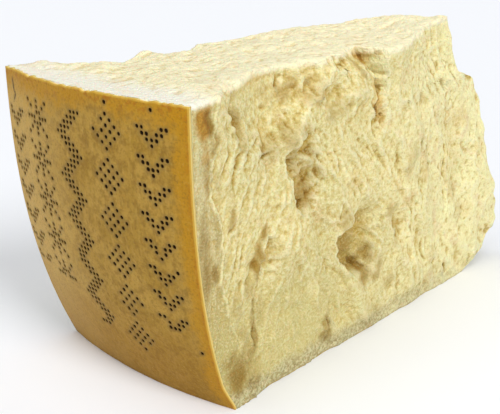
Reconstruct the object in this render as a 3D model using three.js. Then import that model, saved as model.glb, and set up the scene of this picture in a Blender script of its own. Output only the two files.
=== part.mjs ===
// A craggy chunk of hard cheese, broken out of the lower half of a wheel.
// Millimetres, +Z up. The rind faces -X, the point of the wedge looks along +X,
// and the wheel's flat face is the underside, on Z = 0.
import * as THREE from 'three';
import { mergeVertices } from 'three/addons/utils/BufferGeometryUtils.js';

const { lerp, smoothstep, clamp, degToRad } = THREE.MathUtils;

// The wheel that the chunk comes from. Its axis is X = Y = 0 until the chunk is centred.
const WHEEL_RADIUS = 215;
const CHUNK_HEIGHT = 120;

// The rind's barrel tucks in towards the wheel's flat face
const RIND_TUCK = 21;
const RIND_TUCK_POWER = 2.6;

// Where the two long breaks meet the rind and where they end
const FRONT_ANGLE = degToRad(13.5);
const BACK_ANGLE = degToRad(13.9);
const FRONT_END = { x: -40, y: -37 };
const BACK_END = { x: -42, y: -12 };

// The front stands this far proud of its mean plane, and its foot more so beside the rind
const FRONT_PROUD = 1.2;
const FOOT = { proud: 2.4, height: 12, near: 6, far: 24 };

// Away from the top, the back break ends nearer to the front one
const BACK_SPREAD = { by: 6, from: 20, to: 80 };

// The top falls from the front to the back, less so towards the point, and rises at the point
const TOP_FALL = { atRind: 3, atPoint: 0, from: 0.4, to: 1.05 };
const TOP_RISE = { by: 2.6, from: 0.75, to: 1 };

// Bites out of the back edge of the top
const TOP_BITES = [
  { x: -176, half: 20, depth: 6 },
  { x: -147, half: 10, depth: 2.6 },
];
const BITE_REACH = 16;

// Low waves on the top
const TOP_WAVES = [
  { along: 24, across: 18, height: 0.9 },
  { along: 9, across: 9, height: 0.5 },
];

// The broken point seen from the front: each step is a height and how far the chunk reaches in X
const POINT_PROFILE = [
  { up: 0, x: -27 },
  { up: 6, x: -9 },
  { up: 16, x: 3 },
  { up: 28, x: 1 },
  { up: 46, x: -9.5 },
  { up: 66, x: -14 },
  { up: 80, x: -17.5 },
  { up: 92, x: -22.5 },
  { up: 97, x: -37 },
  { up: 120, x: -44.5 },
];

// How much less far it reaches at the back break, and its own unevenness
const POINT_SLANT = 15;
const POINT_WAVE = { width: 8, depth: 0.8 };

// The front's top edge seen from above: how deep it lies behind the front's mean plane, and how
// far down from the edge this shapes the front
const TOP_EDGE = [
  { along: 12, depth: 2.2, reach: 18 },
  { along: 21, depth: -1.4, reach: 14 },
  { along: 28, depth: 4.5, reach: 17 },
  { along: 48, depth: 9.5, reach: 25 },
  { along: 62, depth: 10, reach: 25 },
  { along: 74, depth: 7.5, reach: 14 },
  { along: 79, depth: 4, reach: 8 },
  { along: 84, depth: 3, reach: 4 },
  { along: 90, depth: 5, reach: 5 },
  { along: 101, depth: 7, reach: 8 },
  { along: 109.5, depth: 8.6, reach: 12 },
  { along: 112.5, depth: -1, reach: 30 },
  { along: 114, depth: -5, reach: 36 },
  { along: 123, depth: -5.5, reach: 44 },
  { along: 134, depth: -3, reach: 46 },
  { along: 145, depth: 1.8, reach: 46 },
  { along: 156, depth: 3.7, reach: 44 },
  { along: 170, depth: 4.5, reach: 44 },
];

// Hollows and swellings of the front break. `along` runs from the rind towards the point and `up`
// from the underside, both to the deepest place. `left` and `right` are the reach to either side of
// a line through it that leans left of upright by `lean` degrees, and `half` is half the length of
// that line.
const FRONT_HOLLOWS = [
  { along: 81, up: 105.5, left: 4, right: 9, half: 7, lean: -25, depth: 3 },
  { along: 110, up: 103, left: 4, right: 5, half: 9, lean: 20, depth: 2 },
  { along: 113, up: 93, left: 4, right: 6, half: 7, lean: 5, depth: 1.8 },
  { along: 64, up: 86, left: 5, right: 15, half: 9, lean: 34, depth: 5 },
  { along: 67, up: 73, left: 5, right: 12, half: 8, lean: 22, depth: 5 },
  { along: 98, up: 40, left: 5.5, right: 32, half: 16.5, lean: 34, depth: 10.5 },
  { along: 44, up: 57, left: 4, right: 9, half: 10, lean: -30, depth: 3 },
  { along: 131, up: 43, left: 5, right: 10, half: 10, lean: 10, depth: 2.5 },
  { along: 146, up: 68, left: 6, right: 12, half: 12, lean: 25, depth: 2.2 },
  { along: 28, up: 14, left: 5, right: 9, half: 9, lean: 0, depth: 1.5 },
  { along: 176, up: 62, left: 14, right: 18, half: 34, lean: 12, depth: 3 },
];
const FRONT_SWELLS = [
  { along: 108.5, up: 31, left: 5, right: 6, half: 9, lean: -35, depth: -2.5 },
  { along: 96, up: 105, left: 14, right: 9, half: 9, lean: 20, depth: 4.5 },
  { along: 55, up: 54, left: 9, right: 18, half: 20, lean: -30, depth: 3 },
  { along: 88, up: 62, left: 16, right: 20, half: 34, lean: 34, depth: 3 },
  { along: 128, up: 72, left: 30, right: 30, half: 36, lean: 20, depth: 2 },
];

// Where, round a hollow from right to left, the gentle slope turns into the steep wall
const WALL_TURN = { from: -0.9, to: 0.7 };

// How far the outlines of these forms wander, over what length, and how far below the top edge
// they start to
const FORM_BEND = { by: 2.6, width: 15, below: 10 };

// Uneven break surface: broad waves, then scallops where flakes came away, longer than wide
const WAVE = { width: 46, depth: 1.6 };
const LARGE_SCALLOP = { width: 27, depth: 3 };
const SMALL_SCALLOP = { width: 13, depth: 2.2 };
const SCALLOP_STRETCH = 1.7;
const SCALLOP_MEAN = 0.6;

// The grain that the scallops follow leans: one way near the rind and the other way beyond
const FRONT_GRAIN = { nearLean: 0.35, farLean: -0.5, turnFrom: -172, turnTo: -128 };
const BACK_GRAIN_LEAN = 0.3;

// Where the break is calmer: beside the rind, just above the underside and below the top
const RIND_CALM = { from: 3, to: 20 };
const TOP_CRUST_CALM = { from: 4, to: 16 };
const FOOT_CALM = { share: 0.2, from: 3, to: 13 };
const TOP_CALM = { share: 0.3, from: 98, to: 114 };

// Cells of the surface mesh along the chunk, across it and up it
const CELLS = { along: 52, across: 15, up: 30 };
const SETTLE_STEPS = 12;

// Seeds of the random forms, and the factors that mix a seed with a place
const SEEDS = { bend: 50, lift: 51, front: 100, back: 200, top: 300, point: 400 };
const LARGE_SEED_STEP = 10;
const SMALL_SEED_STEP = 20;
const MIX_U = 374761393;
const MIX_V = 668265263;
const MIX_SEED = 974634777;
const MIX_LAST = 1274126177;

// Repeatable random numbers from 0 to 1 on a lattice
function latticeValue(i, j, seed) {
  let bits = Math.imul(i, MIX_U) + Math.imul(j, MIX_V) + Math.imul(seed, MIX_SEED);
  bits = Math.imul(bits ^ (bits >>> 13), MIX_LAST);
  return ((bits ^ (bits >>> 16)) >>> 0) / 2 ** 32;
}

// Smooth waves from -1 to 1, one lattice cell long
function waves(u, v, seed) {
  const i = Math.floor(u);
  const j = Math.floor(v);
  const s = smoothstep(u - i, 0, 1);
  const t = smoothstep(v - j, 0, 1);
  const low = lerp(latticeValue(i, j, seed), latticeValue(i + 1, j, seed), s);
  const high = lerp(latticeValue(i, j + 1, seed), latticeValue(i + 1, j + 1, seed), s);
  return 2 * lerp(low, high, t) - 1;
}

// Shallow scoops that meet in sharp crests, from 0 on the crests to about 1 in the scoops
function scallops(u, v, seed) {
  const i = Math.floor(u);
  const j = Math.floor(v);
  let nearest = Infinity;
  for (let di = -1; di <= 1; di += 1) {
    for (let dj = -1; dj <= 1; dj += 1) {
      const centreU = i + di + latticeValue(i + di, j + dj, seed);
      const centreV = j + dj + latticeValue(i + di, j + dj, seed + 1);
      const rim = latticeValue(i + di, j + dj, seed + 2) / 2;
      const distance = (u - centreU) ** 2 + (v - centreV) ** 2 + rim;
      nearest = Math.min(nearest, distance);
    }
  }
  return 1 - Math.min(nearest, 1);
}

// Depth of the uneven break below its mean plane, for any of the breaks
function brokenRelief(u, v, seed) {
  let relief = WAVE.depth * waves(u / WAVE.width, v / WAVE.width, seed);
  for (const [scallop, seedStep] of [[LARGE_SCALLOP, LARGE_SEED_STEP], [SMALL_SCALLOP, SMALL_SEED_STEP]]) {
    const scoop = scallops(u / scallop.width, v / (scallop.width * SCALLOP_STRETCH), seed + seedStep);
    relief += scallop.depth * (scoop - SCALLOP_MEAN);
  }
  return relief;
}

// Where a value lies in a list of steps: the step before it, the step after it and the share
function stepsAround(steps, key, value) {
  let first = 0;
  while (first < steps.length - 2 && value > steps[first + 1][key]) {
    first += 1;
  }
  const before = steps[first];
  const after = steps[first + 1];
  const share = clamp((value - before[key]) / (after[key] - before[key]), 0, 1);
  return { before, after, share };
}

// Depth that the shape of the top edge gives the front below it
function edgeDepth(along, up) {
  const { before, after, share } = stepsAround(TOP_EDGE, 'along', along);
  const depth = lerp(before.depth, after.depth, share);
  const reach = lerp(before.reach, after.reach, share);
  const down = clamp((CHUNK_HEIGHT - up) / reach, 0, 1);
  const faded = depth > 0 ? down ** 2 : smoothstep(down, 0, 1);
  return depth * (1 - faded);
}

// Where a place lies in one of the named forms: `out` is 0 in its middle and 1 at its rim, and
// `side` runs from -1 on the left to 1 on the right
function placeInForm(form, along, up) {
  const lean = degToRad(form.lean);
  const du = along - form.along;
  const dv = up - form.up;
  const fromLine = du * Math.cos(lean) + dv * Math.sin(lean);
  const across = fromLine / (fromLine < 0 ? form.left : form.right);
  const lengthwise = (dv * Math.cos(lean) - du * Math.sin(lean)) / form.half;
  const out = Math.hypot(across, lengthwise);
  return { out, side: out > 0 ? across / out : 0 };
}

// A hollow has a steep wall with a crisp rim on the left and rises gently on the right
function hollowDepth(form, along, up) {
  const { out, side } = placeInForm(form, along, up);
  const steep = clamp(1 - out ** 2, 0, 1);
  const gentle = smoothstep(1 - out, 0, 1);
  return form.depth * lerp(gentle, steep, smoothstep(-side, WALL_TURN.from, WALL_TURN.to));
}

// A swelling rises gently all round, and one of negative depth sinks so
function swellHeight(form, along, up) {
  const { out } = placeInForm(form, along, up);
  return form.depth * smoothstep(1 - out, 0, 1);
}

// Depth of all the named forms at a place on the front break
function formsDepth(along, up) {
  const wander = FORM_BEND.by * smoothstep(CHUNK_HEIGHT - up, 0, FORM_BEND.below);
  const bend = wander * waves(along / FORM_BEND.width, up / FORM_BEND.width, SEEDS.bend);
  const lift = wander * waves(along / FORM_BEND.width, up / FORM_BEND.width, SEEDS.lift);
  let depth = edgeDepth(along + bend, up + lift);
  for (const form of FRONT_HOLLOWS) {
    depth += hollowDepth(form, along + bend, up + lift);
  }
  for (const form of FRONT_SWELLS) {
    depth -= swellHeight(form, along + bend, up + lift);
  }
  return depth;
}

function rindRadius(z) {
  return WHEEL_RADIUS - RIND_TUCK * clamp(1 - z / CHUNK_HEIGHT, 0, 1) ** RIND_TUCK_POWER;
}

function rindX(y, z) {
  return -Math.sqrt(rindRadius(z) ** 2 - y ** 2);
}

// 0 at the rind, where the crust breaks cleanly, to 1 in the crumbly paste
function awayFromRind(x, z, calm) {
  const fromRind = x + rindRadius(z) * Math.cos(FRONT_ANGLE);
  return smoothstep(fromRind, calm.from, calm.to);
}

// 1 below the top, down to the calm share just under it
function calmBelowTop(z) {
  return lerp(1, TOP_CALM.share, smoothstep(z, TOP_CALM.from, TOP_CALM.to));
}

// Y of the front break
function frontY(x, z) {
  const edgeX = -rindRadius(z) * Math.cos(FRONT_ANGLE);
  const edgeY = -rindRadius(z) * Math.sin(FRONT_ANGLE);
  const plane = lerp(edgeY, FRONT_END.y, (x - edgeX) / (FRONT_END.x - edgeX));
  const nearRind = smoothstep(edgeX - x, -FOOT.far, -FOOT.near);
  const foot = FOOT.proud * smoothstep(FOOT.height - z, 0, FOOT.height) * nearRind;
  const turn = smoothstep(x, FRONT_GRAIN.turnFrom, FRONT_GRAIN.turnTo);
  const lean = lerp(FRONT_GRAIN.nearLean, FRONT_GRAIN.farLean, turn);
  const grain = x - lean * (z - CHUNK_HEIGHT / 2);
  const calm = lerp(FOOT_CALM.share, 1, smoothstep(z, FOOT_CALM.from, FOOT_CALM.to)) * calmBelowTop(z);
  const relief = brokenRelief(grain, z, SEEDS.front) * calm;
  const depth = relief + formsDepth(x + WHEEL_RADIUS, z) - FRONT_PROUD;
  return plane - foot + depth * awayFromRind(x, z, RIND_CALM);
}

// Y of the back break
function backY(x, z) {
  const edgeX = -rindRadius(z) * Math.cos(BACK_ANGLE);
  const edgeY = rindRadius(z) * Math.sin(BACK_ANGLE);
  const spread = BACK_SPREAD.by * smoothstep(CHUNK_HEIGHT - z, BACK_SPREAD.from, BACK_SPREAD.to);
  const plane = lerp(edgeY, BACK_END.y + spread, (x - edgeX) / (BACK_END.x - edgeX));
  const relief = brokenRelief(x + BACK_GRAIN_LEAN * z, z, SEEDS.back) * calmBelowTop(z);
  return plane - relief * awayFromRind(x, z, RIND_CALM);
}

// Z of the break along the middle of the wheel, which is the top
function topZ(x, y) {
  const rindEdge = { x: -WHEEL_RADIUS * Math.cos(FRONT_ANGLE), y: WHEEL_RADIUS * Math.sin(FRONT_ANGLE) };
  const towardsPoint = (x - rindEdge.x) / (FRONT_END.x - rindEdge.x);
  const front = lerp(-rindEdge.y, FRONT_END.y, towardsPoint);
  const back = lerp(rindEdge.y, BACK_END.y, towardsPoint);
  const fall = lerp(TOP_FALL.atRind, TOP_FALL.atPoint, smoothstep(towardsPoint, TOP_FALL.from, TOP_FALL.to));
  const rise = TOP_RISE.by * smoothstep(towardsPoint, TOP_RISE.from, TOP_RISE.to);
  let z = CHUNK_HEIGHT + rise - fall * smoothstep(y, front, back);
  for (const bite of TOP_BITES) {
    const here = clamp(1 - ((x - bite.x) / bite.half) ** 2, 0, 1);
    z -= bite.depth * here * smoothstep(y, back - BITE_REACH, back);
  }
  const uneven = awayFromRind(x, CHUNK_HEIGHT, TOP_CRUST_CALM);
  TOP_WAVES.forEach((wave, k) => {
    z += wave.height * waves(x / wave.along, y / wave.across, SEEDS.top + k) * uneven;
  });
  return z;
}

// X of the broken-off point. `across` runs from 0 at the front break to 1 at the back break.
function pointX(across, y, z) {
  const { before, after, share } = stepsAround(POINT_PROFILE, 'up', z);
  const profile = lerp(before.x, after.x, share) - POINT_SLANT * across;
  return profile + POINT_WAVE.depth * waves(y / POINT_WAVE.width, z / POINT_WAVE.width, SEEDS.point);
}

// Moves one corner of the unit box to the skin of the chunk. Each face of the box is one surface,
// and the edges settle where two surfaces meet.
function placeOnChunk(corner) {
  const { x: along, y: across, z: up } = corner;
  let x = lerp(-WHEEL_RADIUS, FRONT_END.x, along);
  let y = lerp(FRONT_END.y, -FRONT_END.y, across);
  let z = CHUNK_HEIGHT * up;
  for (let step = 0; step < SETTLE_STEPS; step += 1) {
    z = up * topZ(x, y);
    x = lerp(rindX(y, z), pointX(across, y, z), along);
    y = lerp(frontY(x, z), backY(x, z), across);
  }
  corner.set(x, y, z);
}

function chunkGeometry() {
  const box = new THREE.BoxGeometry(1, 1, 1, CELLS.along, CELLS.across, CELLS.up);
  box.translate(0.5, 0.5, 0.5);
  box.deleteAttribute('normal');
  box.deleteAttribute('uv');
  const geometry = mergeVertices(box);
  const places = geometry.getAttribute('position');
  const corner = new THREE.Vector3();
  for (let i = 0; i < places.count; i += 1) {
    corner.fromBufferAttribute(places, i);
    placeOnChunk(corner);
    places.setXYZ(i, corner.x, corner.y, corner.z);
  }
  geometry.computeVertexNormals();
  return geometry;
}

// The origin goes to the middle of the chunk's own box, on the underside
function centreOnFloor(geometry) {
  geometry.computeBoundingBox();
  const middle = geometry.boundingBox.getCenter(new THREE.Vector3());
  geometry.translate(-middle.x, -middle.y, -geometry.boundingBox.min.z);
}

const PASTE_COLOUR = 0xe9dcaa;
const PASTE_ROUGHNESS = 0.75;
const pasteMaterial = new THREE.MeshStandardMaterial({ color: PASTE_COLOUR, roughness: PASTE_ROUGHNESS });

const chunk = new THREE.Mesh(chunkGeometry(), pasteMaterial);
chunk.name = 'cheese_chunk';
centreOnFloor(chunk.geometry);

const model = new THREE.Group();
model.add(chunk);

export default model;
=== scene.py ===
import math
import bpy
import numpy as np
from mathutils import Matrix, Vector


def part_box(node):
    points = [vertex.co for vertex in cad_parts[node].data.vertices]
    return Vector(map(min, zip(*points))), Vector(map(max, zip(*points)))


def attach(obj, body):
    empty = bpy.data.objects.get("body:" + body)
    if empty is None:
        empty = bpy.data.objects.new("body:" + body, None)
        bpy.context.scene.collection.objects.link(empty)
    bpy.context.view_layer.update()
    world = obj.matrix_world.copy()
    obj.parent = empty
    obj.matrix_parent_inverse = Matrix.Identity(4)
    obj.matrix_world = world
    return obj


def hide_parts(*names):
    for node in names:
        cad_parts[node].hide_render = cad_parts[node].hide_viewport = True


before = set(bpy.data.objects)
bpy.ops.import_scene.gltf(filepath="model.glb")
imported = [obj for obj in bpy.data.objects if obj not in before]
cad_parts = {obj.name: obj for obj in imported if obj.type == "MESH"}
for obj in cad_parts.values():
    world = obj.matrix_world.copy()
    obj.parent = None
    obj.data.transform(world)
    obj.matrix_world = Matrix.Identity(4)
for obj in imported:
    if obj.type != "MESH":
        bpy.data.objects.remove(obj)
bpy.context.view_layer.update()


# ---------------------------------------------------------------------------------------
# The wheel's place. The chunk is part of a wheel of hard cheese whose axis stood at its
# point. Its forms are worked out in millimetres from that axis and set down where the solid
# lies: the rind's crown is the solid's lowest X, and the rind's back corner its highest Y.
NODE = "cheese_chunk"
MM = 0.001
WHEEL_RADIUS = 215.0
BACK_ANGLE = math.radians(13.9)

low_corner, high_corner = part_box(NODE)
wheel_axis = (
    low_corner.x / MM + WHEEL_RADIUS,
    high_corner.y / MM - WHEEL_RADIUS * math.sin(BACK_ANGLE),
    0.0,
)


def in_frame(places):
    """Millimetres from the wheel's axis, as metres in the frame."""
    return (np.asarray(places, float) + wheel_axis) * MM


# ---------------------------------------------------------------------------------------
# The camera stands beyond the rind's front corner, above the chunk, and looks down on the
# rind at the left and the long front break at the right.
CAMERA_PLACE = (-444.0, -308.1, 217.75)
CAMERA_AZIMUTH = math.radians(-45.476)
CAMERA_ELEVATION = math.radians(20.718)
CAMERA_ROLL = math.radians(-0.636)
SENSOR_WIDTH = 36.0
LENS = 82.04
NEAREST_SEEN = 0.01

backwards = Vector((
    math.sin(CAMERA_AZIMUTH) * math.cos(CAMERA_ELEVATION),
    -math.cos(CAMERA_AZIMUTH) * math.cos(CAMERA_ELEVATION),
    math.sin(CAMERA_ELEVATION),
))
level_right = Vector((math.cos(CAMERA_AZIMUTH), math.sin(CAMERA_AZIMUTH), 0.0))
level_up = backwards.cross(level_right)
right = level_right * math.cos(CAMERA_ROLL) + level_up * math.sin(CAMERA_ROLL)
up = backwards.cross(right)
camera = bpy.data.objects.new("camera", bpy.data.cameras.new("camera"))
camera.data.sensor_width = SENSOR_WIDTH
camera.data.lens = LENS
camera.data.clip_start = NEAREST_SEEN
turn = Matrix((right, up, backwards)).transposed().to_4x4()
camera.matrix_world = Matrix.Translation(in_frame(CAMERA_PLACE)) @ turn
bpy.context.collection.objects.link(camera)
bpy.context.scene.camera = camera


# ---------------------------------------------------------------------------------------
# The paste: the pale, grainy body of the chunk, of aged milk curd. It was split out of the
# wheel with a blunt knife, so every face but the underside is an uneven break with
# scooped flakes, strands and small cracks, and a crumb of 1 to 2 mm stands on all of it.
CHUNK_HEIGHT = 120.0
FRONT_ANGLE = math.radians(13.5)

# The rind end: how far the barrel tucks in at the foot, how suddenly, and the distances from
# the rind over which the clean break turns crumbly, on the sides and on the top
RIND_TUCK = 21.0
RIND_TUCK_POWER = 2.6
CLEAN_BREAK = (3, 20)
CLEAN_TOP = (4, 16)

# The front and the back: where their mean planes end at the point, how proud the front stands
# of its own, above all at its foot beside the rind, and how far the back's end spreads lower
# down
FRONT_END = (-40.0, -37.0)
FRONT_PROUD = 1.2
FOOT_PROUD = 2.4
FOOT_HEIGHT = 12
FOOT_ALONG = (6, 24)
BACK_END = (-42.0, -12.0)
BACK_END_SPREAD = 6.0
BACK_SPREAD_BELOW_TOP = (20, 80)
BACK_LEAN = 0.3

# The breaks are calmer along the top edge and, on the front, at the foot: the share of the
# relief that is left, and the heights between which it changes
TOP_CALM, TOP_CALM_HEIGHTS = 0.3, (98, 114)
FOOT_CALM, FOOT_CALM_HEIGHTS = 0.2, (3, 13)

# The top: its fall to the back and its rise at the point, each with the share of the length
# where it changes, and the bites out of its back edge with place, half width and depth
TOP_FALL_AT_RIND = 3.0
TOP_FALL_AT_POINT = 0.0
TOP_FALL_TURN = (0.4, 1.05)
TOP_RISE = 2.6
TOP_RISE_TURN = (0.75, 1.0)
TOP_BITES = ((-176, 20, 6), (-147, 10, 2.6))
BITE_REACH = 16.0

# The broken end at the point: its outline from the floor up, and its slant to the back
POINT_PROFILE_UP = (0, 6, 16, 28, 46, 66, 80, 92, 97, 120)
POINT_PROFILE_X = (-27, -9, 3, 1, -9.5, -14, -17.5, -22.5, -37, -44.5)
POINT_SLANT = 15.0

# The front's top edge: along from the rind's crown, depth behind the front's mean plane, and
# how far down the edge shapes the front
TOP_EDGE = (
    (12, 2.2, 18), (21, -1.4, 14), (28, 4.5, 17), (48, 9.5, 25), (62, 10, 25),
    (74, 7.5, 14), (79, 4, 8), (84, 3, 4), (90, 5, 5), (101, 7, 8),
    (109.5, 8.6, 12), (112.5, -1, 30), (114, -5, 36), (123, -5.5, 44), (134, -3, 46),
    (145, 1.8, 46), (156, 3.7, 44), (170, 4.5, 44),
)

# Hollows and swellings of the front: along from the rind's crown, up, reach to the left and
# right of a line through the deepest place, half its length, its lean to the left in
# degrees, the share of the reach that the steep left wall takes, and the depth. A swelling
# of negative depth is a gentle valley.
FRONT_HOLLOWS = (
    (74, 111, 3, 6, 4, -35, 1, 1.5),
    (81, 105.5, 4, 9, 7, -25, 1, 3),
    (110, 103, 4, 5, 9, 20, 1, 2.0),
    (113, 93, 3, 6, 7, 5, 1, 1.8),
    (70, 91, 4, 11, 5, 45, 1, 3.5),
    (62, 86, 4, 14, 6, 30, 1, 4.5),
    (66, 78, 4, 14, 7, 20, 1, 4.5),
    (67, 70, 3.5, 9, 5, 25, 1, 4),
    (98, 40, 5.5, 32, 16.5, 34, 0.7, 10.5),
    (44, 57, 2.5, 9, 10, -30, 0.8, 3),
    (80, 40, 2, 5, 3.5, 40, 0.9, 1.6),
    (131, 43, 5, 10, 10, 10, 1, 2.5),
    (146, 68, 6, 12, 12, 25, 1, 2.2),
    (28, 14, 5, 9, 9, 0, 1, 1.5),
    (176, 62, 14, 18, 34, 12, 1, 3),
)
FRONT_SWELLS = (
    (108.5, 31, 5, 6, 9, -35, 1, -2.5),
    (96, 105, 14, 9, 9, 20, 1, 4.5),
    (55, 54, 9, 18, 20, -30, 1, 3),
    (88, 62, 16, 20, 34, 34, 1, 3),
    (128, 72, 30, 30, 36, 20, 1, 2),
)
WALL_CRISPNESS = 0.75
WALL_TURN = (-0.9, 0.7)

# How much the outlines of the forms wander, over what width, and the distance below the top
# edge over which they start to
FORM_WANDER, FORM_WANDER_WIDTH = 2.6, 15.0
WANDER_BELOW_TOP = 10

# The grain of the front leans one way beside the rind and the other way beyond
GRAIN_LEAN_NEAR, GRAIN_LEAN_FAR = 0.35, -0.5
GRAIN_TURN = (-172.0, -128.0)

# The patterns of relief: large odd numbers that scatter the random ones, how much the scoops'
# levels differ, and the means of the scoops and the ridges
SCATTER = (374761393, 668265263, 974634777, 1274126177)
SCALLOP_LEVELS = 0.5
SCALLOP_MEAN, RIDGE_MEAN = 0.6, 0.65


def lerp(a, b, t):
    """From a to b as t goes from 0 to 1."""
    return a + (b - a) * t


def smoothstep(x, low, high):
    """Smoothly from 0 below low to 1 above high."""
    t = np.clip((np.asarray(x, float) - low) / (high - low), 0.0, 1.0)
    return t * t * (3.0 - 2.0 * t)


def lattice_value(i, j, seed):
    """Repeatable random numbers from 0 to 1 on a lattice."""
    bits = i.astype(np.uint32) * np.uint32(SCATTER[0]) + j.astype(np.uint32) * np.uint32(SCATTER[1])
    bits = bits + np.uint32(seed * SCATTER[2] % 2**32)
    bits = (bits ^ (bits >> np.uint32(13))) * np.uint32(SCATTER[3])
    return (bits ^ (bits >> np.uint32(16))) / 2.0**32


def waves(u, v, seed):
    """Smooth waves from -1 to 1, one lattice cell long."""
    i, j = np.floor(u).astype(np.int64), np.floor(v).astype(np.int64)
    s, t = smoothstep(u - i, 0, 1), smoothstep(v - j, 0, 1)
    low = lerp(lattice_value(i, j, seed), lattice_value(i + 1, j, seed), s)
    high = lerp(lattice_value(i, j + 1, seed), lattice_value(i + 1, j + 1, seed), s)
    return 2.0 * lerp(low, high, t) - 1.0


def scallops(u, v, seed):
    """Shallow scoops that meet in sharp crests, 0 on the crests and about 1 in the scoops."""
    i, j = np.floor(u).astype(np.int64), np.floor(v).astype(np.int64)
    nearest = np.full(np.shape(u), np.inf)
    for di in (-1, 0, 1):
        for dj in (-1, 0, 1):
            centre_u = i + di + lattice_value(i + di, j + dj, seed)
            centre_v = j + dj + lattice_value(i + di, j + dj, seed + 1)
            rim = SCALLOP_LEVELS * lattice_value(i + di, j + dj, seed + 2)
            nearest = np.minimum(nearest, (u - centre_u) ** 2 + (v - centre_v) ** 2 + rim)
    return 1.0 - np.minimum(nearest, 1.0)


def scoops(u, v, seed):
    """Scallops about their mean depth."""
    return scallops(u, v, seed) - SCALLOP_MEAN


def ridges(u, v, seed):
    """Thin winding crests, 1 on the crests and 0 in the furrows between them."""
    return 1.0 - np.abs(waves(u, v, seed))


def crests(u, v, seed):
    """Ridges about their mean height."""
    return ridges(u, v, seed) - RIDGE_MEAN


def layered(layers, u, v, seed=0):
    """Layers of relief on each other. Each names its pattern, its depth, the pattern's width
    along u and along v, and its own seed."""
    total = 0.0
    for pattern, depth, width_u, width_v, own_seed in layers:
        total = total + depth * pattern(u / width_u, v / width_v, seed + own_seed)
    return total


def form_depth(form, along, height, smooth):
    """Depth of one of the named forms. The left side of a hollow is a steep wall with a crisp
    rim, and its right side rises gently; a smooth form is gentle all round."""
    form_along, form_up, left, right_reach, half, lean, wall, depth = form
    lean = math.radians(lean)
    du, dv = along - form_along, height - form_up
    across_line = du * math.cos(lean) + dv * math.sin(lean)
    along_line = (dv * math.cos(lean) - du * math.sin(lean)) / half
    across_line = across_line / np.where(across_line < 0, left, right_reach)
    out = np.sqrt(across_line**2 + along_line**2) + 1e-6
    steep = np.clip((1.0 - out**2) / wall, 0.0, 1.0)
    gentle = smoothstep(1.0 - out, 0.0, 1.0)
    crisp = 0.0 if smooth else WALL_CRISPNESS * smoothstep(-across_line / out, *WALL_TURN)
    return depth * lerp(gentle, steep * (2.0 - steep), crisp)


def edge_depth(along, height):
    """Depth that the shape of the top edge gives the front below it."""
    places, depths, reaches = zip(*TOP_EDGE)
    depth = np.interp(along, places, depths)
    down = np.clip((CHUNK_HEIGHT - height) / np.interp(along, places, reaches), 0.0, 1.0)
    return depth * (1.0 - np.where(depth > 0, down**2, smoothstep(down, 0, 1)))


# The smaller wander of the outlines, which only the visible surface has
FINE_WANDER = ((waves, 1.2, 4.5, 4.5, 0), (waves, 1.0, 2, 2, 2))
WANDER_SEED, FINE_WANDER_SEED = 50, 52


def forms_depth(hollows, swells, along, height, fine):
    """Depth of all the named forms. Their outlines wander, but not along the top edge."""
    wander = FORM_WANDER * smoothstep(CHUNK_HEIGHT - height, 0, WANDER_BELOW_TOP)
    wide = (along / FORM_WANDER_WIDTH, height / FORM_WANDER_WIDTH)
    bend = wander * waves(*wide, WANDER_SEED)
    lift = wander * waves(*wide, WANDER_SEED + 1)
    if fine:
        bend = bend + layered(FINE_WANDER, along, height, FINE_WANDER_SEED)
        lift = lift + layered(FINE_WANDER, along, height, FINE_WANDER_SEED + 1)
    depth = np.zeros(np.shape(along))
    for form in hollows:
        depth = depth + form_depth(form, along + bend, height + lift, False)
    for form in swells:
        depth = depth - form_depth(form, along + bend, height + lift, True)
    if swells:
        depth = depth + edge_depth(along + bend, height + lift)
    return depth


# The large relief of every break, with the grain's stretch: waves and two sizes of scoop
GRAIN_STRETCH = 1.7
BREAK_RELIEF = (
    (waves, 1.6, 46, 46, 0),
    (scoops, 3.0, 27, 27 * GRAIN_STRETCH, 10),
    (scoops, 2.2, 13, 13 * GRAIN_STRETCH, 20),
)
FRONT_SEED, BACK_SEED, BACK_FLAKE_SEED = 100, 200, 210


def rind_radius(z):
    """The rind's distance from the wheel's axis, less towards the wheel's flat face."""
    return WHEEL_RADIUS - RIND_TUCK * np.clip(1.0 - z / CHUNK_HEIGHT, 0.0, 1.0) ** RIND_TUCK_POWER


def rind_x(y, z):
    """Where the rind stands."""
    return -np.sqrt(rind_radius(z) ** 2 - y**2)


def away_from_rind(x, z, start, full):
    """0 at the rind, where the crust breaks cleanly, to 1 in the crumbly paste."""
    return smoothstep(x + rind_radius(z) * math.cos(FRONT_ANGLE), start, full)


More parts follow.
